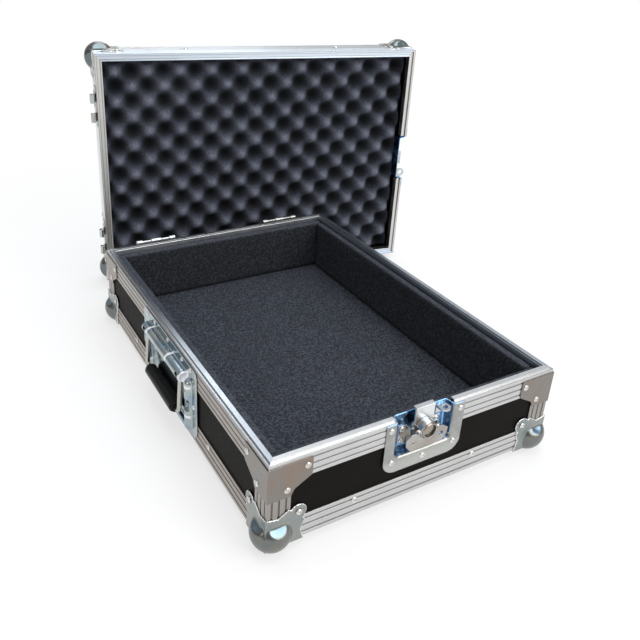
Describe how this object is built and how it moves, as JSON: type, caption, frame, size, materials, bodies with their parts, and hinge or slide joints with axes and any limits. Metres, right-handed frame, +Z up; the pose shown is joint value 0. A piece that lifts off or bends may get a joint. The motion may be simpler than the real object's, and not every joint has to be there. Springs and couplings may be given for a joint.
{
  "type": "flight case",
  "caption": "Aluminium-edged flight case with foam lining, ball corners, recessed butterfly latch, sprung handle and a lift-off lid with egg-crate foam.",
  "frame": {"origin": "on the floor, under the middle of the whole footprint of case and standing lid", "axes": "+Z up; -Y towards the latch side of the base; -X towards its handle side; the lid stands behind it on +Y"},
  "size_m": [0.6158, 0.7332, 0.423],
  "materials": {
    "black_laminate": "satin black laminate on plywood",
    "rim_aluminium": "satin anodised extrusion",
    "angle_aluminium": "ribbed satin extrusion",
    "corner_zinc": "bright zinc plate",
    "rivet_steel": "polished zinc plate",
    "dish_zinc": "blue passivated zinc plate",
    "handle_zinc": "blue passivated zinc plate",
    "works_zinc": "bright zinc plate",
    "grip_rubber": "smooth satin",
    "bush_nylon": "moulded nylon",
    "lining_foam": "closed-cell foam, speckled charcoal",
    "egg_crate_foam": "open-cell convoluted foam"
  },
  "bodies": {
    "base": {"base_floor_panel": "black_laminate", "base_front_panel": "black_laminate", "base_front_rim": "rim_aluminium", "base_front_lining": "lining_foam", "base_right_panel": "black_laminate", "base_right_rim": "rim_aluminium", "base_right_lining": "lining_foam", "base_back_panel": "black_laminate", "base_back_rim": "rim_aluminium", "base_back_lining": "lining_foam", "base_left_panel": "black_laminate", "base_left_rim": "rim_aluminium", "base_left_lining": "lining_foam", "base_floor_lining": "lining_foam", "base_edge_angles": "angle_aluminium", "base_corner_posts": "angle_aluminium", "base_ball_corners": "corner_zinc", "base_corner_braces": "corner_zinc", "base_rivets": "rivet_steel", "latch_dish": "dish_zinc", "latch_guides": "works_zinc", "latch_rivets": "rivet_steel", "base_padlock_eye": "works_zinc", "left_hinge_leaf": "works_zinc", "left_hinge_pin": "works_zinc", "right_hinge_leaf": "works_zinc", "right_hinge_pin": "works_zinc", "handle_plate": "handle_zinc", "handle_bushes": "bush_nylon", "handle_springs": "works_zinc", "handle_screws": "rivet_steel"},
    "lid": {"lid_top_panel": "black_laminate", "lid_front_panel": "black_laminate", "lid_front_rim": "rim_aluminium", "lid_right_panel": "black_laminate", "lid_right_rim": "rim_aluminium", "lid_back_panel": "black_laminate", "lid_back_rim": "rim_aluminium", "lid_left_panel": "black_laminate", "lid_left_rim": "rim_aluminium", "lid_foam": "egg_crate_foam", "lid_edge_angles": "angle_aluminium", "lid_ball_corners": "corner_zinc", "keeper_dish": "dish_zinc", "keeper_bar": "works_zinc", "lid_padlock_eye": "works_zinc", "lid_rivets": "rivet_steel", "left_lid_hooks": "works_zinc", "right_lid_hooks": "works_zinc"},
    "handle": {"handle_bail": "works_zinc", "handle_grip": "grip_rubber"},
    "spindle": {"latch_spindle": "works_zinc", "latch_wing_pin": "works_zinc"},
    "wing": {"latch_wing": "works_zinc"},
    "claw": {"latch_claw": "works_zinc"}
  },
  "joints": [
    {"name": "lid_lift", "type": "slide", "parent": "base", "child": "lid", "axis": [0, 0, 1], "range_m": [0, 0.15]},
    {"name": "handle_swing", "type": "hinge", "parent": "base", "child": "handle", "pos_m": [-0.2959, -0.075, 0.099], "axis": [0, 1, 0], "range_deg": [0, 80], "stiffness_Nm_per_rad": 0.35, "springref_deg": -17.19},
    {"name": "latch_turn", "type": "hinge", "parent": "base", "child": "spindle", "pos_m": [-0.0886, -0.355, 0.103], "axis": [0, -1, 0], "range_deg": [0, 180]},
    {"name": "claw_slide", "type": "slide", "parent": "base", "child": "claw", "axis": [0, 0, 1], "range_m": [0, 0.008]},
    {"name": "wing_fold", "type": "hinge", "parent": "spindle", "child": "wing", "pos_m": [-0.0886, -0.3596, 0.103], "axis": [-1, 0, 0], "range_deg": [0, 90]}
  ],
  "couplings": [
    {"joint": "claw_slide", "follows": "latch_turn", "m_per_rad": 0.002546}
  ]
}
